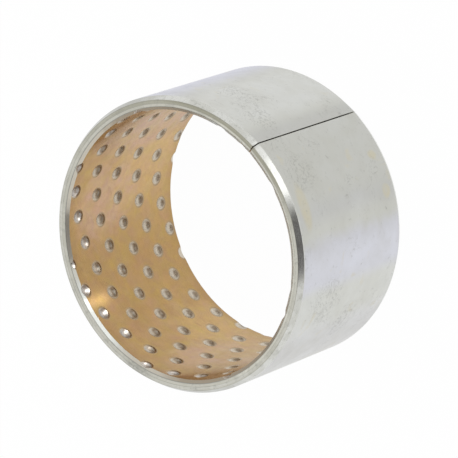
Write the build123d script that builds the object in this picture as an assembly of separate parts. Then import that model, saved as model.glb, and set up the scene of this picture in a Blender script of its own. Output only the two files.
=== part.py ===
from build123d import *

import math
import os

os.makedirs("parts", exist_ok=True)

# Wrapped plain bushing in mm. It stands on one end: +Z is its axis, z = 0 the lower end,
# and the butt joint, where the rolled strip closes on itself, faces +X.

# Fitted sizes
bore_diameter = 50.0
wall = 2.5
length = 32.5

# Strip: steel back outside, bonded bronze lining inside
lining_thickness = 0.6
joint_gap = 0.2

# Lead-in chamfer outside at both ends, for pressing into a housing
outer_chamfer_length = 1.15
outer_chamfer_angle = 30.0

# Edge of the steel next to the lining, and the chamfer across the lining
steel_edge_width = 0.55
steel_edge_length = 0.25
lining_chamfer_length = 0.42

# Grease dimples, indented in slanted rows on the flat strip before it is rolled.
# They are round, and kept to a few flat sides here so that the whole pattern stays light.
dimple_diameter = 2.55
dimple_floor_diameter = 1.8
dimple_depth = 0.4
dimple_sides = 9
row_pitch = 5.45
row_slant = 16.7
row_step = 5.88
row_shift = 1.61
first_dimple_along = 55.37
first_dimple_up = 29.15
least_bite = 0.5

# Sizes that follow
bore_radius = bore_diameter / 2
outer_radius = bore_radius + wall
lining_radius = bore_radius + lining_thickness
outer_chamfer_depth = outer_chamfer_length * math.tan(math.radians(outer_chamfer_angle))
land_start = steel_edge_length + lining_chamfer_length
dimple_radius = dimple_diameter / 2
dimple_floor_radius = dimple_floor_diameter / 2
strip_length = 2 * math.pi * bore_radius


def mirrored_ends(lower_end):
    """The outline of a ring wall from its lower end's points, outside first, and their mirror."""
    upper_end = [(r, length - z) for r, z in reversed(lower_end)]
    return lower_end + upper_end


def ring(lower_end):
    """A full ring from the points of its lower end, each as radius and height."""
    points = [(r, 0, z) for r, z in mirrored_ends(lower_end)]
    outline = make_face(Polyline(*points, close=True))
    return revolve(outline, Axis.Z)


def joint_slot():
    """What the butt joint leaves open: a slot with parallel sides through the wall at +X."""
    slot_depth = 2 * outer_radius
    slot_height = 2 * length
    slot = Box(slot_depth, joint_gap, slot_height, align=(Align.MIN, Align.CENTER, Align.CENTER))
    return Pos(0, 0, length / 2) * slot


def steel_back():
    """The steel strip: outer cylinder, lead-in chamfers and flat end faces."""
    lower_end = [
        (lining_radius, steel_edge_length),
        (lining_radius + steel_edge_width, 0),
        (outer_radius - outer_chamfer_depth, 0),
        (outer_radius, outer_chamfer_length),
    ]
    return ring(lower_end) - joint_slot()


def dimple_places():
    """Dimple centres on the flat strip: distance round the bore from the joint, and height."""
    slant = math.radians(row_slant)
    along = (math.cos(slant), -math.sin(slant))
    across = (math.sin(slant), math.cos(slant))
    lowest = land_start - dimple_radius + least_bite
    reach = math.ceil((strip_length + length) / min(row_pitch, row_step))
    places = []
    for row in range(-reach, reach + 1):
        for step in range(-reach, reach + 1):
            on_row = step * row_pitch + row * row_shift
            off_row = row * row_step
            round_bore = first_dimple_along + on_row * along[0] + off_row * across[0]
            up = first_dimple_up + on_row * along[1] + off_row * across[1]
            on_strip = 0 < round_bore < strip_length
            if on_strip and lowest < up < length - lowest:
                places.append((round_bore, up))
    return places


def dimple_section(radius, height):
    """The outline of a dimple at a height off the bore, with the area of the true circle."""
    side_angle = 2 * math.pi / dimple_sides
    corner_radius = radius * math.sqrt(side_angle / math.sin(side_angle))
    level = Plane(origin=(bore_radius + height, 0, 0), x_dir=(0, 1, 0), z_dir=(1, 0, 0))
    return level * RegularPolygon(corner_radius, dimple_sides)


def dimple_punch():
    """The punch that presses one dimple at +X. Its walls run on past the bore surface."""
    bore_sag = bore_radius - math.sqrt(bore_radius**2 - dimple_radius**2)
    clear_of_bore = 2 * bore_sag
    widening = (dimple_radius - dimple_floor_radius) / dimple_depth
    mouth = dimple_section(dimple_radius + widening * clear_of_bore, -clear_of_bore)
    floor = dimple_section(dimple_floor_radius, dimple_depth)
    return loft([mouth, floor], ruled=True)


def dimple_tool(punch, round_bore, up):
    """The punch in its place. At the joint it stays on its own side of the cut."""
    turn = math.degrees(round_bore / bore_radius)
    placed = Rot(0, 0, turn) * Pos(0, 0, up) * punch
    if min(round_bore, strip_length - round_bore) > dimple_diameter:
        return placed
    above = Align.MIN if round_bore < strip_length / 2 else Align.MAX
    own_side = Box(2 * outer_radius, outer_radius, length, align=(Align.MIN, above, Align.CENTER))
    return placed & (Pos(0, 0, up) * own_side)


def bronze_lining():
    """The bearing layer: the running bore with its dimples, chamfered at both ends."""
    lower_end = [
        (bore_radius, land_start),
        (lining_radius, steel_edge_length),
    ]
    punch = dimple_punch()
    dimples = [dimple_tool(punch, *place) for place in dimple_places()]
    return ring(lower_end) - joint_slot() - dimples


export_step(steel_back(), "parts/steel_back.step")
export_step(bronze_lining(), "parts/bronze_lining.step")
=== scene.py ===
# %% [markdown]
# # A wrapped plain bushing
# The real bushing starts as a flat strip: mild steel, tin-plated, with a thin layer of bronze
# bonded to one side. A tool presses rows of small round dimples into the bronze, which later
# hold grease. The strip is cut to length, chamfered and rolled until its two ends meet.
# This scene goes the same way: it makes both layers flat and then rolls them, because
# slanted rows, cut dimples and the joint then come out as they do on the real one.

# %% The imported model
import math
from collections import namedtuple

import bmesh
import bpy
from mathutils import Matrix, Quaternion, Vector


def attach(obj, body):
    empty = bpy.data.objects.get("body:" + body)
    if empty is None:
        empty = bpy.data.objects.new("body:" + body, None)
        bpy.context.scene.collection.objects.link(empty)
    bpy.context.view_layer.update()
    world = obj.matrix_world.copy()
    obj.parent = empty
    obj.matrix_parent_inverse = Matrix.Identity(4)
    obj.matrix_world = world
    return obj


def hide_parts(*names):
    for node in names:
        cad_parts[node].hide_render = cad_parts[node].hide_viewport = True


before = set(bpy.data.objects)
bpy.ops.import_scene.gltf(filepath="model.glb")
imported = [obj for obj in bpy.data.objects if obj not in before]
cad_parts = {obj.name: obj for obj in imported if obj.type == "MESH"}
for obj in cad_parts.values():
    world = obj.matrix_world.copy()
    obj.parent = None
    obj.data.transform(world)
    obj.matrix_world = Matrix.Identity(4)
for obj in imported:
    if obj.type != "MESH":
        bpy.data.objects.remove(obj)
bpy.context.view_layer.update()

print("Nodes in the packed model:", sorted(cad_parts))

# %% [markdown]
# ## Sizes
# These are the sizes that the solids were drawn with. They are written in millimetres and
# turned into metres, since one unit in Blender is a metre.

# %% Sizes of the strip and its dimples
mm = 0.001
bore_radius = 25.0 * mm
wall = 2.5 * mm
length = 32.5 * mm
lining = 0.6 * mm
joint_gap = 0.2 * mm
outer_chamfer_length = 1.15 * mm
outer_chamfer_angle = math.radians(30)
outer_chamfer_depth = outer_chamfer_length * math.tan(outer_chamfer_angle)
steel_edge_width = 0.55 * mm
steel_edge_length = 0.25 * mm
lining_chamfer = 0.42 * mm
land_start = steel_edge_length + lining_chamfer
strip_length = 2 * math.pi * bore_radius

row_pitch = 5.45 * mm
row_slant = math.radians(16.7)
row_step = 5.88 * mm
row_shift = 1.61 * mm
first_dimple = Vector((55.37, 29.15, 0)) * mm

along_row = Vector((math.cos(row_slant), -math.sin(row_slant), 0))
across_rows = Vector((math.sin(row_slant), math.cos(row_slant), 0))
to_next_dimple = row_pitch * along_row
to_next_row = row_shift * along_row + row_step * across_rows
print("Flat strip:", round(strip_length / mm, 2), "mm long,", length / mm, "mm wide")

# %% [markdown]
# ## Small helpers
# Some things are needed again and again: an object in the scene, a node with its values set
# in one go, and the plain mesh that is left once a modifier has done its work.

# %% Helpers for meshes and nodes
def object_from(name, data):
    """An object with this mesh, lamp or camera, placed in the scene."""
    made = bpy.data.objects.new(name, data)
    bpy.context.scene.collection.objects.link(made)
    return made


def applied(piece, name):
    """The plain mesh that a piece's modifiers give. The piece keeps it, without modifiers."""
    bpy.context.view_layer.update()
    shaped = piece.evaluated_get(bpy.context.evaluated_depsgraph_get())
    mesh = bpy.data.meshes.new_from_object(shaped)
    piece.modifiers.clear()
    piece.data = mesh
    mesh.name = name
    return mesh


def add(tree, kind, inputs=None, **settings):
    """A node with its settings, and its inputs given as values or as sockets to link."""
    made = tree.nodes.new(kind)
    for name, value in settings.items():
        setattr(made, name, value)
    for name, value in (inputs or {}).items():
        if isinstance(value, bpy.types.NodeSocket):
            tree.links.new(value, made.inputs[name])
        else:
            made.inputs[name].default_value = value
    return made


def math_of(tree, operation, *values, clamp=False):
    """The output of a Math node on these values or sockets."""
    given = dict(enumerate(values))
    return add(tree, "ShaderNodeMath", given, operation=operation, use_clamp=clamp).outputs[0]


def times(tree, first, second):
    """The product of two values."""
    return math_of(tree, "MULTIPLY", first, second)


def plus(tree, first, second):
    """The sum of two values."""
    return math_of(tree, "ADD", first, second)


def minus(tree, first, second):
    """The first value less the second."""
    return math_of(tree, "SUBTRACT", first, second)


def vector_of(tree, operation, *values, output="Vector", **named):
    """The output of a Vector Math node on these values or sockets."""
    given = dict(enumerate(values)) | named
    return add(tree, "ShaderNodeVectorMath", given, operation=operation).outputs[output]


def new_tree(name, kind, inputs, outputs):
    """A node tree with named sockets of these kinds, and the sockets of its inputs."""
    tree = bpy.data.node_groups.new(name, kind)
    for direction, sockets in (("INPUT", inputs), ("OUTPUT", outputs)):
        for label, socket in sockets.items():
            tree.interface.new_socket(name=label, in_out=direction, socket_type="NodeSocket" + socket)
    return tree, tree.nodes.new("NodeGroupInput").outputs


def emptied_tree(owner):
    """The node tree of a material or a world, without the nodes that it starts with."""
    owner.use_nodes = True
    owner.node_tree.nodes.clear()
    return owner.node_tree


def run_nodes(piece, tree, values):
    """Gives a piece a Geometry Nodes modifier, with its inputs set by their identifiers."""
    modifier = piece.modifiers.new(tree.name, "NODES")
    modifier.node_group = tree
    for socket in tree.interface.items_tree:
        if socket.in_out == "INPUT" and socket.name in values:
            modifier[socket.identifier] = values[socket.name]


# %% [markdown]
# ## Surface effects that both metals share
# Rolled and plated strip is never even. It has soft clouds where the plating is thicker or
# thinner, fine lines along the strip from the rolls, and thin dark wrinkles from handling.
# Both layers have them, so each effect is a shader group that is built once. The groups
# read a point on the flat strip, so that a pattern follows the metal round the bushing
# and stops at the joint.

# %% Clouding, rolling marks and wrinkles
def in_units(tree, place, size):
    """A point, measured in units of this size."""
    return vector_of(tree, "SCALE", place, Scale=math_of(tree, "DIVIDE", 1.0, size))


def noise_of(tree, point, dimensions="3D", **values):
    """Noise at a point, with clouds about one unit wide."""
    values = {"Vector": point, "Scale": 1.0} | values
    return add(tree, "ShaderNodeTexNoise", values, noise_dimensions=dimensions).outputs["Fac"]


def clouding_group():
    """Soft clouds of a given size, from 0 to 1."""
    inputs = {"Place": "Vector", "Size": "Float", "Seed": "Float"}
    tree, given = new_tree("Clouding", "ShaderNodeTree", inputs, {"Cloud": "Float"})
    point = in_units(tree, given["Place"], given["Size"])
    noise = noise_of(tree, point, "4D", W=given["Seed"], Detail=4.0, Roughness=0.55, Distortion=0.6)
    spread = add(tree, "ShaderNodeMapRange", {"Value": noise, "From Min": 0.3, "From Max": 0.7})
    add(tree, "NodeGroupOutput", {"Cloud": spread.outputs["Result"]})
    return tree


def rolling_marks_group():
    """Fine lines along the strip, from 0 to 1."""
    inputs = {"Place": "Vector", "Spacing": "Float", "Run": "Float"}
    tree, given = new_tree("Rolling marks", "ShaderNodeTree", inputs, {"Marks": "Float"})
    place = add(tree, "ShaderNodeSeparateXYZ", {"Vector": given["Place"]})
    stretched = add(tree, "ShaderNodeCombineXYZ", {
        "X": math_of(tree, "DIVIDE", place.outputs["X"], given["Run"]),
        "Y": math_of(tree, "DIVIDE", place.outputs["Y"], given["Spacing"]),
        "Z": math_of(tree, "DIVIDE", place.outputs["Z"], given["Spacing"])})
    noise = noise_of(tree, stretched.outputs["Vector"], Detail=3.0, Roughness=0.6, Distortion=0.1)
    add(tree, "NodeGroupOutput", {"Marks": noise})
    return tree


def wrinkles_group():
    """Thin dark lines that wander in loose patches, from 0 to 1."""
    inputs = {"Place": "Vector", "Size": "Float", "Patch": "Float", "Share": "Float", "Width": "Float"}
    tree, given = new_tree("Wrinkles", "ShaderNodeTree", inputs, {"Mask": "Float"})
    in_sizes = in_units(tree, given["Place"], given["Size"])
    in_patches = in_units(tree, given["Place"], given["Patch"])
    fine = noise_of(tree, in_sizes, Detail=3.0, Roughness=0.6, Distortion=0.8)
    patch = noise_of(tree, in_patches, Detail=2.0, Roughness=0.6)
    level = minus(tree, 1.0, given["Share"])
    off_line = math_of(tree, "ABSOLUTE", minus(tree, fine, 0.5))
    line = add(tree, "ShaderNodeMapRange", {"Value": off_line, "From Min": given["Width"], "From Max": 0.0})
    near = add(tree, "ShaderNodeMapRange", {"Value": patch, "From Min": level,
               "From Max": plus(tree, level, 0.1)})
    add(tree, "NodeGroupOutput", {"Mask": times(tree, line.outputs["Result"], near.outputs["Result"])})
    return tree


clouding = clouding_group()
rolling_marks = rolling_marks_group()
wrinkles = wrinkles_group()
print("Shared effects:", [g.name for g in bpy.data.node_groups])

# %% [markdown]
# Colours are laid over each other the way a painter glazes: a mask says where and a strength
# says how much. The masks come from ramps, which turn a distance or a cloud into a share
# between 0 and 1.

# %% Blends and ramps
def blend(tree, factor, first, second, mode="MIX"):
    """Two colours blended by a factor."""
    made = add(tree, "ShaderNodeMix", data_type="RGBA", blend_type=mode)
    # The node also has sockets for numbers and vectors. Its colours are sockets 6 and 7.
    for socket, value in ((made.inputs[0], factor), (made.inputs[6], first), (made.inputs[7], second)):
        if isinstance(value, bpy.types.NodeSocket):
            tree.links.new(value, socket)
        else:
            socket.default_value = (*value, 1.0)
    return made.outputs[2]


def glaze(tree, colour, *layers):
    """A colour with tints laid over it in turn, each with its mask and its strength."""
    for mask, strength, tint in layers:
        colour = blend(tree, times(tree, mask, strength), colour, tint)
    return colour


def shade(tree, colour, mask, tint):
    """A colour multiplied by a tint inside a mask."""
    return blend(tree, mask, colour, tint, mode="MULTIPLY")


def blend_value(tree, factor, first, second):
    """Two values blended by a factor."""
    return add(tree, "ShaderNodeMix", {0: factor, 2: first, 3: second}, data_type="FLOAT").outputs[0]


def ramp(tree, value, low, high):
    """A value turned into 0 at low and 1 at high, with a soft middle."""
    made = add(tree, "ShaderNodeMapRange", {"Value": value, "From Min": low, "From Max": high})
    made.interpolation_type = "SMOOTHSTEP"
    return made.outputs["Result"]


def lerp(tree, factor, first, second):
    """A number between two numbers."""
    made = add(tree, "ShaderNodeMapRange", {"Value": factor, "To Min": first, "To Max": second})
    return made.outputs["Result"]


# %% [markdown]
# Every mask starts from the point on the flat strip, which the rolling step keeps as an
# attribute: how far along it is, how far up, how deep in the wall and how far from the
# nearer end. The last one decides whether the point is on a chamfer. Borders wander a
# little, because no border on plated metal is a straight line.

# %% Places on the strip
StripPlace = namedtuple("StripPlace", "point along up depth from_end")


def strip_place(tree):
    """The point on the flat strip, and what the masks need to know of it."""
    point = add(tree, "ShaderNodeAttribute", attribute_name="flat").outputs["Vector"]
    parts = add(tree, "ShaderNodeSeparateXYZ", {"Vector": point})
    along, up, depth = (parts.outputs[n] for n in "XYZ")
    from_end = math_of(tree, "MINIMUM", up, minus(tree, length, up))
    return StripPlace(point, along, up, depth, from_end)


def effect(tree, group, at, **values):
    """A shared effect in a material, with its own values."""
    return add(tree, "ShaderNodeGroup", {"Place": at.point} | values, node_tree=group).outputs[0]


def wandering(tree, along, clouds, reach):
    """The way along the strip, moved to and fro by clouds."""
    return plus(tree, along, times(tree, minus(tree, clouds, 0.5), reach))


def band(tree, along, centre, half_width, soft):
    """1 inside a band across the strip, 0 outside, with soft borders. In millimetres."""
    off = math_of(tree, "ABSOLUTE", minus(tree, along, centre * mm))
    return ramp(tree, off, (half_width + soft) * mm, (half_width - soft) * mm)


def shade_bands(tree, colour, along, bands):
    """A colour multiplied by the tint of each band that a point is in."""
    for centre, half_width, soft, tint in bands:
        colour = shade(tree, colour, band(tree, along, centre, half_width, soft), tint)
    return colour


def patch_mask(tree, along, up, patch):
    """A soft oval on the strip, from its middle and its two half sizes in millimetres."""
    middle_along, middle_up, half_along, half_up = patch
    a = math_of(tree, "DIVIDE", minus(tree, along, middle_along * mm), half_along * mm)
    b = math_of(tree, "DIVIDE", minus(tree, up, middle_up * mm), half_up * mm)
    off = plus(tree, times(tree, a, a), times(tree, b, b))
    return ramp(tree, off, 1.6, 0.2)


# %% A metal
surface_rise = 0.004 * mm
quarter_turn = 0.25


def metal(name, surface_of, brushed=0.0):
    """A metal whose colour, roughness and height come from surface_of(tree).

    A brushed metal has lines round the bushing, so its highlights stretch along the axis.
    """
    material = bpy.data.materials.new(name)
    tree = emptied_tree(material)
    colour, roughness, height = surface_of(tree)
    bump = add(tree, "ShaderNodeBump", {"Height": height, "Strength": 1.0, "Distance": surface_rise})
    shader = add(tree, "ShaderNodeBsdfPrincipled", {
        "Base Color": colour, "Roughness": roughness, "Metallic": 1.0, "Anisotropic": brushed,
        "Anisotropic Rotation": quarter_turn if brushed else 0.0, "Normal": bump.outputs["Normal"]})
    add(tree, "ShaderNodeOutputMaterial", {"Surface": shader.outputs["BSDF"]})
    return material


# %% [markdown]
# ## Tin-plated steel
# The outside is pale grey tin, cloudy and a little yellow in places. Broad bands with a
# faint lavender tint run across the strip, and small scuffs and freckles lie on it. One
# noise for all of this would look the same everywhere, so the bands, stains and scuffs
# are placed one by one, from lists that are easy to change.

# %% Colours and marks of the tin
pale_tin = (0.600, 0.606, 0.572)
warm_tin = (0.560, 0.560, 0.510)
dull_tin = (0.470, 0.470, 0.430)
# Painted shade for the greyer band beside the joint
joint_painted_shade = (0.460, 0.460, 0.450)
yellow_stain = (0.600, 0.550, 0.390)
wrinkle_grey = (0.270, 0.270, 0.245)

# Bands across the strip: middle, half width, softness (all in mm), and the tint
tin_bands = [
    (9.5, 5.5, 2.0, (1.110, 1.115, 1.150)),
    (24.0, 5.5, 4.0, (1.030, 1.040, 1.290)),
    (45.0, 9.0, 4.0, (1.080, 1.080, 1.100)),
    (63.0, 6.0, 3.0, (1.000, 1.000, 1.150)),
    (84.0, 9.0, 5.0, (1.100, 1.100, 1.120)),
    (102.0, 5.0, 2.0, (1.020, 1.020, 1.180)),
    (116.0, 6.0, 3.0, (1.035, 1.030, 1.090)),
    (128.5, 8.0, 3.0, (1.130, 1.135, 1.160)),
    (134.2, 4.2, 1.5, (1.000, 1.000, 1.130)),
    (142.8, 1.5, 2.0, (0.955, 0.955, 0.985)),
    (150.0, 8.0, 2.5, (0.955, 0.955, 0.965)),
]

# Yellow stains and dark scuffs: middle and half size, along the strip and up, in mm
stain_patches = [(144.8, 28.6, 4.0, 1.4), (149.0, 4.0, 0.9, 1.2), (142.9, 3.5, 1.2, 1.2)]
scuff_patches = [
    (127.5, 22.5, 4.0, 5.0), (5.5, 25.0, 4.5, 3.5), (146.3, 13.5, 1.0, 1.5),
    (12.0, 21.0, 4.5, 3.0), (150.0, 26.0, 3.0, 4.0), (121.0, 14.0, 4.0, 4.0),
]
print("Bands across the tin:", len(tin_bands))

# %% The outside
def outside_colour(tree, at, shifted, big, small, stain):
    """The colour of the outer face."""
    colour = shade_bands(tree, blend(tree, big, pale_tin, warm_tin), shifted, tin_bands)
    colour = glaze(tree, colour, (ramp(tree, stain, 0.75, 1.0), 0.35, yellow_stain))
    stain_strength = lerp(tree, small, 0.3, 0.8)
    for patch in stain_patches:
        inside = patch_mask(tree, shifted, at.up, patch)
        colour = glaze(tree, colour, (inside, stain_strength, yellow_stain))
    colour = blend(tree, lerp(tree, small, 0.0, 0.10), colour, dull_tin)
    wrinkle = effect(tree, wrinkles, at, Size=2.2 * mm, Patch=7 * mm, Share=0.47, Width=0.016)
    freckle = effect(tree, clouding, at, Size=0.6 * mm, Seed=6.4)
    scuff = effect(tree, wrinkles, at, Size=1.3 * mm, Patch=3 * mm, Share=0.7, Width=0.03)
    # Painted shade: a greyer band on the outside beside the joint. Then wrinkles and freckles.
    colour = glaze(
        tree, colour,
        (ramp(tree, at.along, 3.6 * mm, 1.2 * mm), 0.45, joint_painted_shade),
        (wrinkle, 0.45, wrinkle_grey),
        (ramp(tree, freckle, 0.78, 1.0), lerp(tree, small, 0.0, 0.5), wrinkle_grey))
    scuff_strength = times(tree, scuff, 0.55)
    for patch in scuff_patches:
        inside = patch_mask(tree, at.along, at.up, patch)
        colour = glaze(tree, colour, (inside, scuff_strength, wrinkle_grey))
    return colour


# %% [markdown]
# The chamfers were rolled smooth after plating and shine more. The narrow end faces are cut
# metal, darker and more olive, and where they rubbed on something they are pale again. A
# few thin dark lines and specks run round them, the last one where the two metals meet.

# %% The chamfers and end faces
chamfer_pale = (0.680, 0.685, 0.655)
bevel_pale = (0.560, 0.550, 0.485)
bevel_bright = (0.650, 0.640, 0.565)
cut_olive = (0.345, 0.335, 0.262)
cut_pale = (0.620, 0.615, 0.560)
edge_slack = 0.05 * mm
line_depths = (1.16 * mm, 1.80 * mm)

# Duller stretches of the chamfer, as bands
dulled_bands = [
    (33.0, 10.0, 4.0, (0.77, 0.77, 0.77)),
    (98.5, 9.5, 4.0, (0.80, 0.80, 0.80)),
    (95.0, 4.5, 4.0, (0.70, 0.70, 0.70)),
]


def face_colour(tree, at, streaks):
    """The colour of the flat end face, and of the bevel next to the lining."""
    to_far_end = minus(tree, strip_length, at.along)
    worn = times(tree, ramp(tree, at.along, 33 * mm, 46 * mm), ramp(tree, to_far_end, 5 * mm, 18 * mm))
    worn = math_of(tree, "MAXIMUM", worn, times(tree, band(tree, at.along, 28.0, 9.0, 3.0), 0.3))
    streaky = times(tree, ramp(tree, streaks, 0.35, 0.65), 0.25)
    paler = plus(tree, streaky, times(tree, worn, 0.75))
    face = blend(tree, paler, cut_olive, cut_pale)
    near_joint = ramp(tree, at.along, 16 * mm, 10 * mm)
    near_joint = math_of(tree, "MAXIMUM", near_joint, ramp(tree, to_far_end, 52 * mm, 46 * mm))
    bevel = blend(tree, near_joint, bevel_pale, bevel_bright)
    on_bevel = math_of(tree, "LESS_THAN", at.depth, lining + steel_edge_width + edge_slack)
    return blend(tree, on_bevel, face, bevel)


def end_colour(tree, at, shifted, big, small, stain):
    """The colour of the chamfer, the end face and the bevel, with their lines and specks."""
    streaks = effect(tree, rolling_marks, at, Spacing=0.5 * mm, Run=16 * mm)
    chamfer = blend(tree, lerp(tree, streaks, 0.0, 0.35), chamfer_pale, pale_tin)
    chamfer = shade_bands(tree, chamfer, shifted, dulled_bands)
    inner_part = math_of(tree, "LESS_THAN", at.depth, wall - outer_chamfer_depth + edge_slack)
    colour = blend(tree, inner_part, chamfer, face_colour(tree, at, streaks))
    speck = effect(tree, clouding, at, Size=0.5 * mm, Seed=8.0)
    colour = glaze(
        tree, colour,
        (ramp(tree, stain, 0.35, 0.75), 0.22, cut_olive),
        (ramp(tree, small, 0.55, 1.0), 0.30, wrinkle_grey),
        (ramp(tree, speck, 0.6, 1.0), 0.35, wrinkle_grey))
    line_strength = lerp(tree, big, 0.1, 0.6)
    for line_depth in line_depths:
        off_line = math_of(tree, "ABSOLUTE", minus(tree, at.depth, line_depth))
        line = ramp(tree, off_line, 0.09 * mm, 0.03 * mm)
        colour = glaze(tree, colour, (line, line_strength, wrinkle_grey))
    bond_line = ramp(tree, at.depth, lining + 0.14 * mm, lining + 0.04 * mm)
    return glaze(
        tree, colour,
        (band(tree, at.along, 86.8, 2.6, 1.8), lerp(tree, speck, 0.1, 0.8), wrinkle_grey),
        (bond_line, lerp(tree, big, 0.35, 0.9), wrinkle_grey))


# %% The tinned steel
end_roughness = 0.18


def tinned_surface(tree):
    """Colour, roughness and height of the steel strip."""
    at = strip_place(tree)
    big = effect(tree, clouding, at, Size=8 * mm, Seed=1.0)
    small = effect(tree, clouding, at, Size=1.7 * mm, Seed=2.0)
    stain = effect(tree, clouding, at, Size=4 * mm, Seed=5.5)
    marks = effect(tree, rolling_marks, at, Spacing=0.16 * mm, Run=9 * mm)
    shifted = wandering(tree, at.along, big, 1.2 * mm)
    outside = outside_colour(tree, at, shifted, big, small, stain)
    ends = end_colour(tree, at, shifted, big, small, stain)
    near_end = ramp(tree, at.from_end, 1.22 * mm, 1.12 * mm)
    colour = blend(tree, near_end, outside, ends)
    satin = plus(tree, lerp(tree, small, 0.27, 0.36), times(tree, big, 0.05))
    roughness = blend_value(tree, near_end, satin, end_roughness)
    height = plus(tree, marks, times(tree, small, 0.8))
    return colour, roughness, height


tinned = metal("tinned_steel", tinned_surface)
print("Steel:", tinned.name, "with", len(tinned.node_tree.nodes), "nodes")

# %% [markdown]
# ## Bronze lining
# The bearing face is golden tan, with broad pinkish zones and fine lines round the bore. It
# is made like the tin: clouds and bands for the large changes, a list for each kind of
# patch, and thin lines on top. A dark edge goes round each dimple, with painted shade that
# makes it darker on one side.

# %% Colours of the bearing face
golden = (0.452, 0.300, 0.130)
straw = (0.575, 0.405, 0.192)
rosy = (0.545, 0.385, 0.250)
brown = (0.340, 0.208, 0.102)
bright_line = (0.618, 0.442, 0.230)
dimple_edge = (0.352, 0.264, 0.165)
yellower = (1.07, 1.09, 0.71)
pinker = (1.05, 0.91, 1.21)

# Bands across the strip and patches on it, as for the tin
bronze_bands = [(70.0, 10.0, 5.0, (0.93, 0.92, 0.91)), (52.0, 9.0, 5.0, (1.06, 1.07, 1.14))]
straw_patches = [(47.0, 10.0, 9.0, 9.0), (86.0, 8.0, 9.0, 8.0), (15.0, 16.0, 12.0, 14.0)]
rosy_patches = [
    (54.0, 21.0, 6.0, 9.0), (39.0, 14.0, 6.0, 14.0), (91.0, 17.0, 4.0, 10.0), (120.0, 12.0, 9.0, 8.0),
]
dark_patch = (38.5, 26.0, 6.0, 4.0)
darker = (0.88, 0.86, 0.84)
print("Patches on the bronze:", len(straw_patches) + len(rosy_patches))

# %% The bearing face
def land_colour(tree, at, shifted, big, small, marks):
    """The colour of the bearing face without its dimples."""
    colour = blend(tree, lerp(tree, big, 0.0, 0.45), golden, straw)
    for patches, tint, strength in ((straw_patches, straw, 0.75), (rosy_patches, rosy, 0.8)):
        for patch in patches:
            colour = glaze(tree, colour, (patch_mask(tree, shifted, at.up, patch), strength, tint))
    patchy = effect(tree, clouding, at, Size=2.6 * mm, Seed=7.3)
    other = effect(tree, clouding, at, Size=3.4 * mm, Seed=9.1)
    colour = shade(tree, colour, patchy, yellower)
    colour = shade(tree, colour, times(tree, other, 0.9), pinker)
    colour = shade_bands(tree, colour, shifted, bronze_bands)
    colour = blend(tree, lerp(tree, small, 0.0, 0.16), colour, brown)
    return blend(tree, lerp(tree, marks, -0.1, 0.3), colour, bright_line)


def shaded_and_worn_colour(tree, at, shifted, colour, off_middle, painted_shade_side):
    """The bearing face's colour with the dimples' edges, painted shade on one side of them, the browner rim
    and the wrinkles.
    """
    # Painted shade: the dark edge round each dimple is strongest on its shaded side
    edge_strength = lerp(tree, ramp(tree, painted_shade_side, -0.2, 0.15), 0.45, 1.0)
    pale_side = times(tree, band(tree, shifted, 36.0, 9.0, 4.0), 0.24)
    colour = glaze(
        tree, colour,
        (ramp(tree, off_middle, 1.62 * mm, 1.36 * mm), edge_strength, dimple_edge),
        (ramp(tree, at.from_end, 3.0 * mm, 0.7 * mm), minus(tree, 0.26, pale_side), brown))
    colour = shade(tree, colour, patch_mask(tree, at.along, at.up, dark_patch), darker)
    wrinkle = effect(tree, wrinkles, at, Size=3 * mm, Patch=8 * mm, Share=0.5, Width=0.02)
    return glaze(tree, colour, (wrinkle, 0.3, brown))


# %% [markdown]
# The strip was flash-plated before it was finished, so the dimples, which the finishing cut
# doesn't reach, stay silver. So does the chamfer at each end, except where it is worn. Each
# dimple also gets painted shade on the side that its slope turns one way, and a painted
# highlight on the other side. Two attributes on the mesh tell where a point is in its
# dimple: off_middle, its distance from the middle, and slope.

# %% Silver in the dimples and on the chamfer
dimple_tin = (0.700, 0.635, 0.530)
dimple_grey = (0.520, 0.470, 0.400)
near_dimple = (0.560, 0.550, 0.545)
dimple_painted_shade = (0.300, 0.270, 0.222)
dimple_painted_light = (0.800, 0.765, 0.695)
chamfer_tin = (0.560, 0.525, 0.450)
# Paler, bluer tin near the joint and in one band: painted reflection on the chamfer
tin_with_painted_reflection = (0.750, 0.800, 0.790)
worn_edge = (0.330, 0.275, 0.205)
# The way in which a dimple's slope faces its painted shade; the other way gets painted light
painted_shade_way = Vector((-0.26, 0.97, 0))

# Painted shade and painted light on the two sides of a dimple: slope at which the tint starts and is full,
# strength and tint
dimple_painted_sides = [(0.15, 0.65, 0.40, dimple_painted_shade), (-0.1, -0.6, 0.45, dimple_painted_light)]


def dimple_place(tree):
    """How far a point is from its dimple's middle, and how far its slope faces the side with painted shade.
    """
    off_middle = add(tree, "ShaderNodeAttribute", attribute_name="off_middle").outputs["Fac"]
    slope = add(tree, "ShaderNodeAttribute", attribute_name="slope").outputs["Vector"]
    return off_middle, vector_of(tree, "DOT_PRODUCT", slope, painted_shade_way, output="Value")


def dimple_colour(tree, at, painted_shade_side, small):
    """The colour inside a dimple, with painted shade on one side and painted light on the other, away from
    the upper end. The first row at the upper end is the most neutral.
    """
    colour = blend(tree, lerp(tree, small, 0.0, 0.35), dimple_tin, dimple_grey)
    farther = ramp(tree, at.up, 27.5 * mm, 25 * mm)
    # Painted shade on one side of each dimple and painted light on the other
    for low, high, strength, tint in dimple_painted_sides:
        side = times(tree, ramp(tree, painted_shade_side, low, high), farther)
        colour = glaze(tree, colour, (side, strength, tint))
    return glaze(tree, colour, (ramp(tree, at.up, 25 * mm, 28.5 * mm), 0.7, near_dimple))


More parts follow.
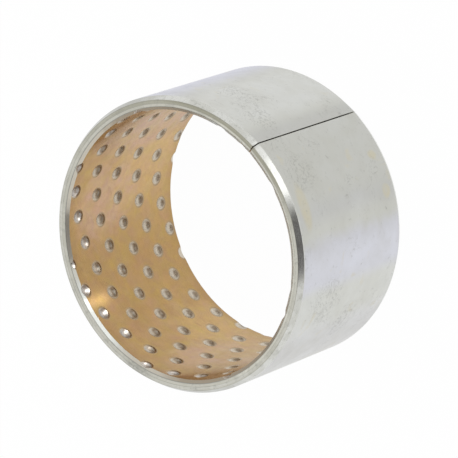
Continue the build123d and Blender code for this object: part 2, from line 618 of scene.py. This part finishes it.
def edge_colour(tree, at, shifted):
    """The colour of the lining's chamfer, with painted reflection as paler, bluer tin near the joint and in
    one band.
    """
    near_joint = ramp(tree, at.along, 13 * mm, 8 * mm)
    near_joint = math_of(tree, "MAXIMUM", near_joint, ramp(tree, at.along, 126 * mm, 131 * mm))
    bare = band(tree, shifted, 23.0, 11.0, 3.0)
    bare = math_of(tree, "MAXIMUM", bare, band(tree, shifted, 108.0, 15.0, 4.0))
    # Painted reflection: paler, bluer tin near the joint and in the band at 74 mm
    return glaze(
        tree, blend(tree, near_joint, chamfer_tin, tin_with_painted_reflection),
        (bare, 0.85, worn_edge),
        (band(tree, shifted, 74.0, 8.0, 4.0), 0.6, tin_with_painted_reflection),
        (ramp(tree, at.depth, lining - 0.10 * mm, lining - 0.03 * mm), 0.7, wrinkle_grey))


# %% [markdown]
# The finishing cut brushes the face round the bore, which stretches its highlights. The
# pressed prints aren't brushed. So the lining has two coats with the same colours: bronze
# for the face and its chamfer, and bronze_pressed for the dimples.

# %% The two coats of the lining
print_roughness = 0.48
edge_roughness = 0.22


def bronze_surface(tree):
    """Colour, roughness and height of the lining."""
    at = strip_place(tree)
    off_middle, painted_shade_side = dimple_place(tree)
    big = effect(tree, clouding, at, Size=7 * mm, Seed=3.0)
    small = effect(tree, clouding, at, Size=1.4 * mm, Seed=4.0)
    marks = effect(tree, rolling_marks, at, Spacing=0.12 * mm, Run=12 * mm)
    shifted = wandering(tree, at.along, big, 6 * mm)
    land = land_colour(tree, at, shifted, big, small, marks)
    land = shaded_and_worn_colour(tree, at, shifted, land, off_middle, painted_shade_side)

    across_chamfer = plus(tree, at.from_end, times(tree, at.depth, lining_chamfer / lining))
    trimmed = math_of(tree, "LESS_THAN", across_chamfer, land_start + 0.02 * mm)
    in_dimple = ramp(tree, off_middle, 1.30 * mm, 0.94 * mm)
    silver = math_of(tree, "MAXIMUM", in_dimple, trimmed)
    plated = blend(tree, trimmed, dimple_colour(tree, at, painted_shade_side, small), edge_colour(tree, at, shifted))
    colour = blend(tree, silver, land, plated)
    silver_roughness = blend_value(tree, trimmed, print_roughness, edge_roughness)
    roughness = blend_value(tree, silver, lerp(tree, small, 0.19, 0.235), silver_roughness)
    height = plus(tree, marks, times(tree, small, 0.6))
    return colour, roughness, times(tree, height, minus(tree, 1.0, silver))


bronze = metal("bronze", bronze_surface, brushed=1.0)
pressed = metal("bronze_pressed", bronze_surface)
print("Lining:", bronze.name, "and", pressed.name)

# %% [markdown]
# ## One dimple and its share of the strip
# A ball-nosed tool leaves a shallow round print. The rows repeat, so the strip can be
# tiled with one cell: a parallelogram as wide as one step along a row and as high as one
# step to the next row. Only one cell is modelled, with few faces, because it is repeated
# about two hundred times. Its border points match those of its neighbours. Each point also
# keeps its distance from the middle, for the metal, and its slope, for smooth shading.

# %% The dimple cell
ball_radius = 1.35 * mm
ball_reach = 0.85 * mm
rim_radius = 1.52 * mm
ring_radii = [0.45 * mm, ball_reach, 1.18 * mm, rim_radius]
cell_sides = 16

rim_width = rim_radius - ball_reach
ball_height = math.sqrt(ball_radius**2 - ball_reach**2)
steepest = ball_reach / ball_height


def print_depth(radius):
    """How deep the print is at a distance from its middle: a ball's print with a rounded rim."""
    rim_deep = steepest * rim_width / 2
    if radius >= ball_reach:
        return rim_deep * ((rim_radius - radius) / rim_width) ** 2
    return rim_deep + math.sqrt(ball_radius**2 - radius**2) - ball_height


def print_fall(radius):
    """How steeply the print gets shallower there, outwards from its middle."""
    if radius < ball_reach:
        return -radius / math.sqrt(ball_radius**2 - radius**2)
    return -steepest * (rim_radius - radius) / rim_width


def cell_border():
    """Points round the cell, evenly spaced on each of its four sides."""
    corners = [(a * to_next_dimple + b * to_next_row) / 2 for a, b in ((-1, -1), (1, -1), (1, 1), (-1, 1))]
    per_side = cell_sides // 4
    border = []
    for side in range(4):
        start, stop = corners[side], corners[(side + 1) % 4]
        border += [start.lerp(stop, k / per_side) for k in range(per_side)]
    return border


def dimple_cell():
    """The cell's mesh: rings from the middle out, then the border. Its faces look at the bore."""
    border = cell_border()
    turn = 2 * math.pi / cell_sides
    # The rings are turned by the mean of these angles, so that they face the border's points
    drift = [math.atan2(p.y, p.x) - k * turn for k, p in enumerate(border)]
    first = drift[0]
    lean = sum((d - first + math.pi) % (2 * math.pi) - math.pi for d in drift) / cell_sides + first
    bm = bmesh.new()
    off_middle = bm.verts.layers.float.new("off_middle")
    slope = bm.verts.layers.float_vector.new("slope")
    middle = bm.verts.new((0, 0, print_depth(0)))
    rings = []
    for radius in ring_radii:
        ring = []
        for k in range(cell_sides):
            outwards = Vector((math.cos(lean + k * turn), math.sin(lean + k * turn), 0))
            at = bm.verts.new(radius * outwards + Vector((0, 0, print_depth(radius))))
            at[off_middle] = radius
            at[slope] = print_fall(radius) * outwards
            ring.append(at)
        rings.append(ring)
    rings.append([bm.verts.new(p) for p in border])
    for at in rings[-1]:
        at[off_middle] = at.co.length
    for k in range(cell_sides):
        n = (k + 1) % cell_sides
        bm.faces.new((middle, rings[0][n], rings[0][k]))
        for inner, outer in zip(rings, rings[1:]):
            bm.faces.new((inner[k], inner[n], outer[n], outer[k]))
    mesh = bpy.data.meshes.new("dimple_cell")
    bm.to_mesh(mesh)
    bm.free()
    return object_from("dimple_cell", mesh)


cell = dimple_cell()
print("Dimple cell:", len(cell.data.polygons), "faces,", round(print_depth(0) / mm, 2), "mm deep")

# %% [markdown]
# ## The rows of dimples
# The rows could be copied in a Python loop or with two Array modifiers. Geometry Nodes suit
# them better: a grid of points is sheared so that each point becomes a dimple's place, points
# that lie off the strip are dropped, and the cell is put on those that are left. The
# pitch, the slant and the start are then named inputs of the tree.

# %% The tree that lays out the rows
def rows_tree():
    """Cells on a slanted grid, over a strip that starts at the origin."""
    inputs = {"Cell": "Object", "Reach": "Int", "To next dimple": "Vector", "To next row": "Vector",
              "First dimple": "Vector", "Strip centre": "Vector", "Half length": "Float",
              "Half width": "Float", "Weld": "Float", "Metal": "Material"}
    tree, given = new_tree("Dimple rows", "GeometryNodeTree", inputs, {"Geometry": "Geometry"})
    span = times(tree, given["Reach"], 2.0)
    count = plus(tree, span, 1.0)
    grid = add(tree, "GeometryNodeMeshGrid", {"Size X": span, "Size Y": span, "Vertices X": count,
               "Vertices Y": count})
    at = add(tree, "ShaderNodeSeparateXYZ", {"Vector": add(tree, "GeometryNodeInputPosition").outputs[0]})
    on_row = vector_of(tree, "SCALE", given["To next dimple"], Scale=at.outputs["X"])
    off_row = vector_of(tree, "SCALE", given["To next row"], Scale=at.outputs["Y"])
    placed = vector_of(tree, "ADD", vector_of(tree, "ADD", on_row, off_row), given["First dimple"])
    slanted = add(tree, "GeometryNodeSetPosition", {"Geometry": grid.outputs["Mesh"], "Position": placed})
    now = add(tree, "GeometryNodeInputPosition").outputs[0]
    away = vector_of(tree, "ABSOLUTE", vector_of(tree, "SUBTRACT", now, given["Strip centre"]))
    far = add(tree, "ShaderNodeSeparateXYZ", {"Vector": away})
    off_length = math_of(tree, "GREATER_THAN", far.outputs["X"], given["Half length"])
    off_width = math_of(tree, "GREATER_THAN", far.outputs["Y"], given["Half width"])
    off_strip = math_of(tree, "MAXIMUM", off_length, off_width)
    kept = add(tree, "GeometryNodeDeleteGeometry", {"Geometry": slanted.outputs[0], "Selection": off_strip})
    source = add(tree, "GeometryNodeObjectInfo", {"Object": given["Cell"]})
    cells = add(tree, "GeometryNodeInstanceOnPoints", {"Points": kept.outputs[0],
                "Instance": source.outputs["Geometry"]})
    real = add(tree, "GeometryNodeRealizeInstances", {"Geometry": cells.outputs["Instances"]})
    welded = add(tree, "GeometryNodeMergeByDistance", {"Geometry": real.outputs[0],
                 "Distance": given["Weld"]})
    coated = add(tree, "GeometryNodeSetMaterial", {"Geometry": welded.outputs[0],
                 "Material": given["Metal"]})
    add(tree, "NodeGroupOutput", {"Geometry": coated.outputs[0]})
    return tree


rows = rows_tree()
margin = row_pitch
lining_piece = object_from("bronze_face", bpy.data.meshes.new("bronze_face"))
run_nodes(lining_piece, rows, {
    "Cell": cell,
    "Reach": math.ceil((strip_length + length) / row_pitch),
    "To next dimple": to_next_dimple,
    "To next row": to_next_row,
    "First dimple": first_dimple,
    "Strip centre": Vector((strip_length / 2, length / 2, 0)),
    "Half length": strip_length / 2 + margin,
    "Half width": length / 2 + margin,
    "Weld": 0.01 * mm,
    "Metal": bronze,
})
flat_face = applied(lining_piece, "bronze_face")
bpy.data.objects.remove(cell)
print("Dimpled face:", len(flat_face.polygons), "faces")

# %% [markdown]
# ## Cutting the lining out
# The dimpled face is cut where the real strip is cut: straight at the two ends that will
# meet, and along a slope at both edges, the chamfer. A dimple that the slope runs through
# is cut open, and shows as a notch in the rim. Then the cut face gets a back, so that the
# lining is a closed layer.

# %% Cut and close the lining
on_plane = 1e-7


def cut_away(bm, point, normal):
    """Removes what lies on the normal's side of a plane."""
    everything = bm.verts[:] + bm.edges[:] + bm.faces[:]
    bmesh.ops.bisect_plane(bm, geom=everything, dist=1e-9, plane_co=point, plane_no=normal,
                           clear_outer=True)


def close_lining(bm):
    """Adds the back of the layer and the walls between it and the cut edge."""
    bm.verts.index_update()
    off_middle = bm.verts.layers.float["off_middle"]
    slope = lining_chamfer / lining
    front = bm.faces[:]
    rim = [(e.link_loops[0].vert, e.link_loops[0].link_loop_next.vert) for e in bm.edges if e.is_boundary]
    behind = {}
    for v in bm.verts[:]:
        up = v.co.y
        if abs(up + slope * v.co.z - land_start) < on_plane:
            up = steel_edge_length
        if abs(length - up + slope * v.co.z - land_start) < on_plane:
            up = length - steel_edge_length
        behind[v] = bm.verts.new((v.co.x, up, lining))
        behind[v][off_middle] = row_pitch
    for face in front:
        bm.faces.new([behind[v] for v in reversed(face.verts)])
    for a, b in rim:
        bm.faces.new((b, a, behind[a], behind[b]))


bm = bmesh.new()
bm.from_mesh(flat_face)
tilt = Vector((0, -lining, -lining_chamfer)).normalized()
cut_away(bm, (joint_gap / 2, 0, 0), (-1, 0, 0))
cut_away(bm, (strip_length - joint_gap / 2, 0, 0), (1, 0, 0))
cut_away(bm, (0, land_start, 0), tilt)
cut_away(bm, (0, length - land_start, 0), (0, -tilt.y, tilt.z))
close_lining(bm)
open_edges = sum(not e.is_manifold for e in bm.edges)
bm.to_mesh(flat_face)
bm.free()
print("Lining, still flat:", len(flat_face.polygons), "faces,", open_edges, "open edges")

# %% [markdown]
# ## The steel back
# Seen from its end, the steel strip has one outline everywhere: flat end faces, a bevel next
# to the lining and a long lead-in chamfer outside. Sheared and rolled edges are never
# sharp, so every corner of the outline gets a small arc. The outline is then drawn along
# the flat strip. At the two ends that meet, it shrinks a little over the last
# tenth of a millimetre, which breaks those edges as well.

# %% Outline of the steel
def rounded(points, radii, steps=4):
    """A closed outline whose corners are replaced by arcs."""
    outline = []
    for i, (corner, radius) in enumerate(zip(points, radii)):
        corner = Vector(corner)
        back = (Vector(points[i - 1]) - corner).normalized()
        ahead = (Vector(points[(i + 1) % len(points)]) - corner).normalized()
        if radius == 0:
            outline.append(corner)
            continue
        half = back.angle(ahead) / 2
        reach = radius / math.tan(half)
        centre = corner + (back + ahead).normalized() * (radius / math.sin(half))
        start, stop = corner + back * reach - centre, corner + ahead * reach - centre
        sweep = start.angle(stop)
        for k in range(steps + 1):
            share = k / steps
            of_start = math.sin((1 - share) * sweep) / math.sin(sweep)
            of_stop = math.sin(share * sweep) / math.sin(sweep)
            outline.append(centre + start * of_start + stop * of_stop)
    return outline


lower_end = [
    ((steel_edge_length, lining), 0),
    ((0, lining + steel_edge_width), 0.3 * mm),
    ((0, wall - outer_chamfer_depth), 0.15 * mm),
    ((outer_chamfer_length, wall), 0.5 * mm),
]
upper_end = [((length - up, depth), radius) for (up, depth), radius in reversed(lower_end)]
corners, corner_radii = zip(*(lower_end + upper_end))
steel_outline = rounded(corners, corner_radii)
print("Steel outline:", len(steel_outline), "points")

# %% [markdown]
# The outline is drawn along the strip by hand-made faces, because they give full control
# of the broken edges at the joint. A curve with a bevel profile would do the long run
# just as well, but not those edges.

# %% Steel strip, still flat
strip_steps = 360
break_steps = 3
edge_break = 0.09 * mm


def inset_outline(outline, amount):
    """The outline moved inwards, apart from the side that the lining covers."""
    moved = []
    for i, point in enumerate(outline):
        run = outline[(i + 1) % len(outline)] - outline[i - 1]
        inwards = Vector((run.y, -run.x)).normalized()
        shift = amount if point.y > lining + 1e-9 else 0.0
        moved.append(point + inwards * shift)
    return moved


def flat_steel():
    """The steel strip's mesh: the outline at each step, joined by faces, closed at both ends."""
    stations = []
    for k in range(break_steps + 1):
        turn = k * math.pi / 2 / break_steps
        stations.append((edge_break * (1 - math.sin(turn)), edge_break * (1 - math.cos(turn))))
    start, stop = joint_gap / 2, strip_length - joint_gap / 2
    even_run = stop - start - 2 * edge_break
    inner = [start + edge_break + even_run * k / strip_steps for k in range(1, strip_steps)]
    first = [(start + off, amount) for amount, off in stations]
    last = [(stop - off, amount) for amount, off in reversed(stations)]
    bm = bmesh.new()
    loops = []
    for x, amount in first + [(x, 0.0) for x in inner] + last:
        loops.append([bm.verts.new((x, p.x, p.y)) for p in inset_outline(steel_outline, amount)])
    for near, far in zip(loops, loops[1:]):
        for i in range(len(near)):
            n = (i + 1) % len(near)
            bm.faces.new((near[i], near[n], far[n], far[i]))
    bm.faces.new(loops[0][::-1])
    bm.faces.new(loops[-1])
    bmesh.ops.recalc_face_normals(bm, faces=bm.faces)
    mesh = bpy.data.meshes.new("steel_strip")
    bm.to_mesh(mesh)
    bm.free()
    return mesh


steel_piece = object_from("steel_strip", flat_steel())
print("Steel, still flat:", len(steel_piece.data.polygons), "faces")

# %% [markdown]
# ## Rolling
# A real strip is rolled round a mandrel. Here a second Geometry Nodes tree does it for
# both layers: the way along the strip becomes an angle, and the depth in the wall becomes a
# radius. It also keeps the flat position as an attribute for the metals. A strip springs
# back a little near its ends, so these stand out by less than a tenth of a millimetre.

# %% The rolling tree
def rolling_tree():
    """Rolls a flat strip into a ring that stands on its lower edge, joint at +X."""
    inputs = {"Geometry": "Geometry", "Bore radius": "Float", "Strip length": "Float",
              "Spring back": "Float", "Spring reach": "Float", "Metal": "Material"}
    tree, given = new_tree("Rolling", "GeometryNodeTree", inputs, {"Geometry": "Geometry"})
    flat = add(tree, "GeometryNodeInputPosition").outputs[0]
    kept = add(tree, "GeometryNodeStoreNamedAttribute", {"Geometry": given["Geometry"], "Name": "flat",
               "Value": flat}, data_type="FLOAT_VECTOR", domain="POINT")
    at = add(tree, "ShaderNodeSeparateXYZ", {"Vector": flat})
    angle = math_of(tree, "DIVIDE", at.outputs["X"], given["Bore radius"])
    other_way = minus(tree, given["Strip length"], at.outputs["X"])
    from_joint = math_of(tree, "MINIMUM", at.outputs["X"], other_way)
    reached = math_of(tree, "DIVIDE", from_joint, given["Spring reach"])
    share = math_of(tree, "SUBTRACT", 1.0, reached, clamp=True)
    lift = times(tree, times(tree, share, share), given["Spring back"])
    radius = plus(tree, plus(tree, given["Bore radius"], at.outputs["Z"]), lift)
    rolled = add(tree, "ShaderNodeCombineXYZ", {
        "X": times(tree, radius, math_of(tree, "COSINE", angle)),
        "Y": times(tree, radius, math_of(tree, "SINE", angle)),
        "Z": at.outputs["Y"]})
    bent = add(tree, "GeometryNodeSetPosition", {"Geometry": kept.outputs[0],
               "Position": rolled.outputs[0]})
    real = add(tree, "GeometryNodeRealizeInstances", {"Geometry": bent.outputs[0]})
    coated = add(tree, "GeometryNodeSetMaterial", {"Geometry": real.outputs[0], "Material": given["Metal"]})
    add(tree, "NodeGroupOutput", {"Geometry": coated.outputs[0]})
    return tree


rolling = rolling_tree()
print("Rolling tree:", len(rolling.nodes), "nodes")

# %% [markdown]
# A rolled layer has few faces for its many prints, so its shading does some of the work.
# On the steel the normals follow the larger faces, which keeps the flat bands flat. On the
# bearing face they come from each print's exact slope.

# %% Roll both layers
spring_back = 0.08 * mm
spring_reach = 3.0 * mm
sharp_angle = math.radians(28)
large_face_weight = 80


def follow_prints(mesh):
    """Shades the bearing face from its exact slope, so that few faces look like a smooth print."""
    flat, slope = mesh.attributes["flat"].data, mesh.attributes["slope"].data
    normals = [n.vector.copy() for n in mesh.corner_normals]
    for face in mesh.polygons:
        if max(flat[v].vector.z for v in face.vertices) > lining - 0.01 * mm:
            continue
        for corner, v in zip(face.loop_indices, face.vertices):
            angle = flat[v].vector.x / bore_radius
            along, up, _ = slope[v].vector
            round_bore = Vector((-math.sin(angle), math.cos(angle), 0))
            outwards = Vector((math.cos(angle), math.sin(angle), 0))
            normals[corner] = (along * round_bore + Vector((0, 0, up)) - outwards).normalized()
    mesh.normals_split_custom_set(normals)


def roll(piece, name, coat, pressed_coat=None):
    """Rolls a flat piece, smooths its shading and leaves a plain mesh.

    Faces in a dimple get the pressed coat, where there is one.
    """
    run_nodes(piece, rolling, {"Bore radius": bore_radius, "Strip length": strip_length,
              "Spring back": spring_back, "Spring reach": spring_reach, "Metal": coat})
    mesh = applied(piece, name)
    mesh.shade_smooth()
    mesh.set_sharp_from_angle(angle=sharp_angle)
    weighted = piece.modifiers.new("Even normals", "WEIGHTED_NORMAL")
    weighted.keep_sharp = True
    weighted.weight = large_face_weight
    mesh = applied(piece, name)
    mesh.materials.clear()
    mesh.materials.append(coat)
    if pressed_coat:
        mesh.materials.append(pressed_coat)
        follow_prints(mesh)
        off_middle = mesh.attributes["off_middle"].data
        for face in mesh.polygons:
            mean = sum(off_middle[v].value for v in face.vertices) / len(face.vertices)
            face.material_index = 1 if mean < rim_radius else 0
    piece.name = name
    size = [round(d / mm, 2) for d in piece.dimensions]
    print(name, ":", len(mesh.polygons), "faces,", size, "mm")
    return piece


steel_back = roll(steel_piece, "steel_back_rolled", tinned)
bronze_lining = roll(lining_piece, "bronze_lining_rolled", bronze, pressed)

# %% [markdown]
# ## In the frame
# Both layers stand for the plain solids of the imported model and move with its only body.

# %% Tie the pieces to the model
tied = ((steel_back, "steel_back", "tinned_steel"), (bronze_lining, "bronze_lining", "bronze"))
for piece, node, slot in tied:
    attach(piece, "root")
    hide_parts(node)
print("Pieces:", steel_back.name, bronze_lining.name)

# %% [markdown]
# ## Floor
# The bushing stands on one end on a white sheet. A lit white sheet would come out grey in
# places, so for the camera and for reflections it glows. A small share of it stays a
# plain matt surface, which keeps the soft shadow.

# %% White sheet
sheet_gap = 0.01 * mm
glow_share = 0.98


def white_sheet():
    """A large round sheet just under the bushing."""
    mesh = bpy.data.meshes.new("white_sheet")
    bm = bmesh.new()
    bmesh.ops.create_circle(bm, cap_ends=True, radius=6.0, segments=64)
    bm.to_mesh(mesh)
    bm.free()
    sheet = object_from("white_sheet", mesh)
    sheet.location.z = -sheet_gap
    material = bpy.data.materials.new("sheet_white")
    tree = emptied_tree(material)
    path = add(tree, "ShaderNodeLightPath")
    seen = math_of(tree, "MAXIMUM", path.outputs["Is Camera Ray"], path.outputs["Is Glossy Ray"])
    seen = math_of(tree, "MAXIMUM", seen, path.outputs["Is Transmission Ray"])
    share = times(tree, seen, glow_share)
    matt = add(tree, "ShaderNodeBsdfDiffuse", {"Color": (0.9, 0.9, 0.9, 1)})
    glow = add(tree, "ShaderNodeEmission", {"Color": (1, 1, 1, 1), "Strength": 1.0})
    both = add(tree, "ShaderNodeMixShader", {0: share, 1: matt.outputs[0], 2: glow.outputs[0]})
    add(tree, "ShaderNodeOutputMaterial", {"Surface": both.outputs[0]})
    mesh.materials.append(material)
    return sheet


white_sheet()
print("Floor:", "white sheet under the lower end")

# %% [markdown]
# ## Light
# The room is a pale tent that is open and darker towards the photographer. Metal shows
# this as the dark stretches on its chamfers. Three soft boxes light the joint's side and
# give the bright ones. A small strip light makes the sparkle in the first dimples and the
# golden streak beside them. It would burn out the tin, so it reaches only the lining.

# %% The tent
def direction(azimuth, elevation):
    """A unit vector from two angles in degrees, azimuth from +X towards +Y."""
    a, e = math.radians(azimuth), math.radians(elevation)
    return Vector((math.cos(e) * math.cos(a), math.cos(e) * math.sin(a), math.sin(e)))


def tent(pale, dark, gap_azimuth, gap_lean, gap_half_width, gap_top, soft):
    """A pale world with a dark leaning gap from the horizon up to its top. In degrees."""
    world = bpy.data.worlds.new("tent")
    bpy.context.scene.world = world
    tree = emptied_tree(world)
    looking_at = add(tree, "ShaderNodeTexCoord").outputs["Generated"]
    looking = add(tree, "ShaderNodeSeparateXYZ", {"Vector": looking_at})
    azimuth = math_of(tree, "DEGREES", math_of(tree, "ARCTAN2", looking.outputs["Y"], looking.outputs["X"]))
    elevation = math_of(tree, "DEGREES", math_of(tree, "ARCSINE", looking.outputs["Z"]))
    middle = minus(tree, gap_azimuth, times(tree, elevation, gap_lean))
    off = math_of(tree, "ABSOLUTE", minus(tree, azimuth, middle))
    across = ramp(tree, off, gap_half_width + soft, gap_half_width - soft)
    up = ramp(tree, elevation, gap_top + soft, gap_top - soft)
    colour = blend(tree, times(tree, across, up), pale, dark)
    sky = add(tree, "ShaderNodeBackground", {"Color": colour, "Strength": 1.0})
    add(tree, "ShaderNodeOutputWorld", {"Surface": sky.outputs[0]})


tent(pale=(0.98, 0.98, 0.98), dark=(0.165, 0.158, 0.160), gap_azimuth=-48.5, gap_lean=0.33,
     gap_half_width=22.5, gap_top=64, soft=7)
print("Light: tent named", bpy.context.scene.world.name)

# %% The lamps
lamp_distance = 0.6


def area_lamp(name, azimuth, elevation, size, energy):
    """A lamp with a rectangular face that looks at the bushing."""
    lamp = bpy.data.lights.new(name, "AREA")
    lamp.shape = "RECTANGLE"
    lamp.size, lamp.size_y = size
    lamp.energy = energy
    made = object_from(name, lamp)
    back = direction(azimuth, elevation)
    made.location = Vector((0, 0, length / 2)) + back * lamp_distance
    made.rotation_euler = back.to_track_quat("Z", "Y").to_euler()
    made.visible_camera = False
    return made


area_lamp("low_soft_box", azimuth=2, elevation=2.5, size=(0.36, 0.115), energy=0.032)
area_lamp("side_soft_box", azimuth=-8, elevation=7, size=(0.24, 0.16), energy=0.090)
strip_light = area_lamp("strip_light", azimuth=-9, elevation=8.5, size=(0.013, 0.034), energy=2.4)
strip_light.data.cycles.max_bounces = 0
reached = bpy.data.collections.new("reached_by_strip_light")
reached.objects.link(bronze_lining)
strip_light.light_linking.receiver_collection = reached
area_lamp("high_soft_box", azimuth=13, elevation=54, size=(0.28, 0.15), energy=0.10)
print("Light:", len(bpy.data.lights), "lamps")

# %% [markdown]
# ## Camera
# A long lens from well above, turned on its side: the bushing stands on its end, and the
# picture shows it as if it lay.

# %% Camera
camera_place = Vector((386.387, -192.573, 559.888)) * mm
camera_looks = Vector((-0.55681, 0.27709, -0.78306))
camera_roll = -109.60
lens_data = bpy.data.cameras.new("long_lens")
lens_data.sensor_width = 36.0
lens_data.lens = 296.98
lens_data.clip_start = 0.01
lens_data.clip_end = 50.0
camera = object_from("long_lens", lens_data)
camera.rotation_mode = "QUATERNION"
camera.location = camera_place
level = camera_looks.to_track_quat("-Z", "Y")
camera.rotation_quaternion = level @ Quaternion((0, 0, 1), math.radians(camera_roll))
bpy.context.scene.camera = camera
bpy.context.scene.view_settings.view_transform = "Standard"
camera_axes = camera.rotation_quaternion.to_matrix().transposed()
print("Camera axes:", [[round(x, 4) for x in axis] for axis in camera_axes])
